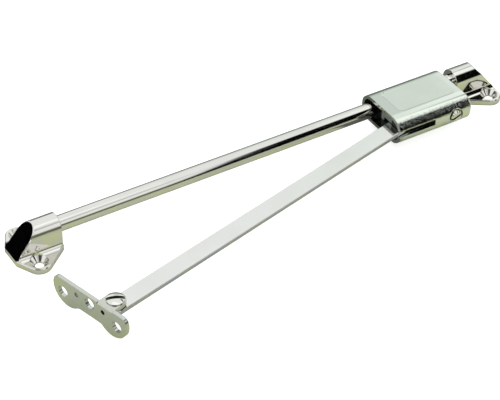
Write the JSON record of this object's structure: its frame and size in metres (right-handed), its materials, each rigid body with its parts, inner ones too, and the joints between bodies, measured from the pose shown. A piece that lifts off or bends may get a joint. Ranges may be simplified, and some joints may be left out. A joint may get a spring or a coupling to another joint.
{
  "type": "flap stay",
  "caption": "Flap stay for a cabinet wall: a guide rod between two screw-on brackets, a braked slider on it, and a flat arm ending in a hinged plate for the flap.",
  "frame": {"origin": "middle of the left bracket's two screw holes, on the mounting plane", "axes": "+X along the guide rod to the right bracket, +Z away from the cabinet wall; the arm swings out towards -Y"},
  "size_m": [0.277, 0.0972, 0.0181],
  "materials": {
    "rod": "polished nickel plating",
    "bracket": "polished nickel plating",
    "housing": "nickel plated casting",
    "guide": "moulded, black",
    "steel": "bright steel",
    "screw": "polished nickel plating",
    "arm": "polished nickel plating",
    "plate": "polished nickel plating"
  },
  "bodies": {
    "base": {"guide_rod": "rod", "left_bracket": "bracket", "right_bracket": "bracket"},
    "slider": {"slider_housing": "housing", "guide_lower": "guide", "guide_upper": "guide", "arm_pin": "steel", "brake_nut": "steel"},
    "brake_shoe": {"brake_shoe": "guide"},
    "brake_screw": {"brake_screw": "screw"},
    "arm": {"arm": "arm", "pivot_screw": "screw", "lug_washer": "guide"},
    "flap_plate": {"flap_plate": "plate"}
  },
  "joints": [
    {"name": "slider_slide", "type": "slide", "parent": "base", "child": "slider", "axis": [1, 0, 0], "range_m": [-0.1777, 0.0042]},
    {"name": "brake_shoe_press", "type": "slide", "parent": "slider", "child": "brake_shoe", "axis": [0, 1, 0], "range_m": [-0.0008, 0.0002]},
    {"name": "brake_screw_turn", "type": "hinge", "parent": "brake_shoe", "child": "brake_screw", "pos_m": [0.228, -0.0202, 0.0108], "axis": [0, 1, 0], "range_deg": [-360, 90]},
    {"name": "arm_swing", "type": "hinge", "parent": "slider", "child": "arm", "pos_m": [0.2098, -0.016, 0.0116], "axis": [0, 0, 1], "range_deg": [-3, 76]},
    {"name": "plate_pivot", "type": "hinge", "parent": "arm", "child": "flap_plate", "pos_m": [0.01111, -0.0648, 0.0151], "axis": [0, 0, 1], "range_deg": [-92, 87]}
  ],
  "couplings": [
    {"joint": "brake_screw_turn", "follows": "brake_shoe_press", "rad_per_m": 7853.9}
  ]
}
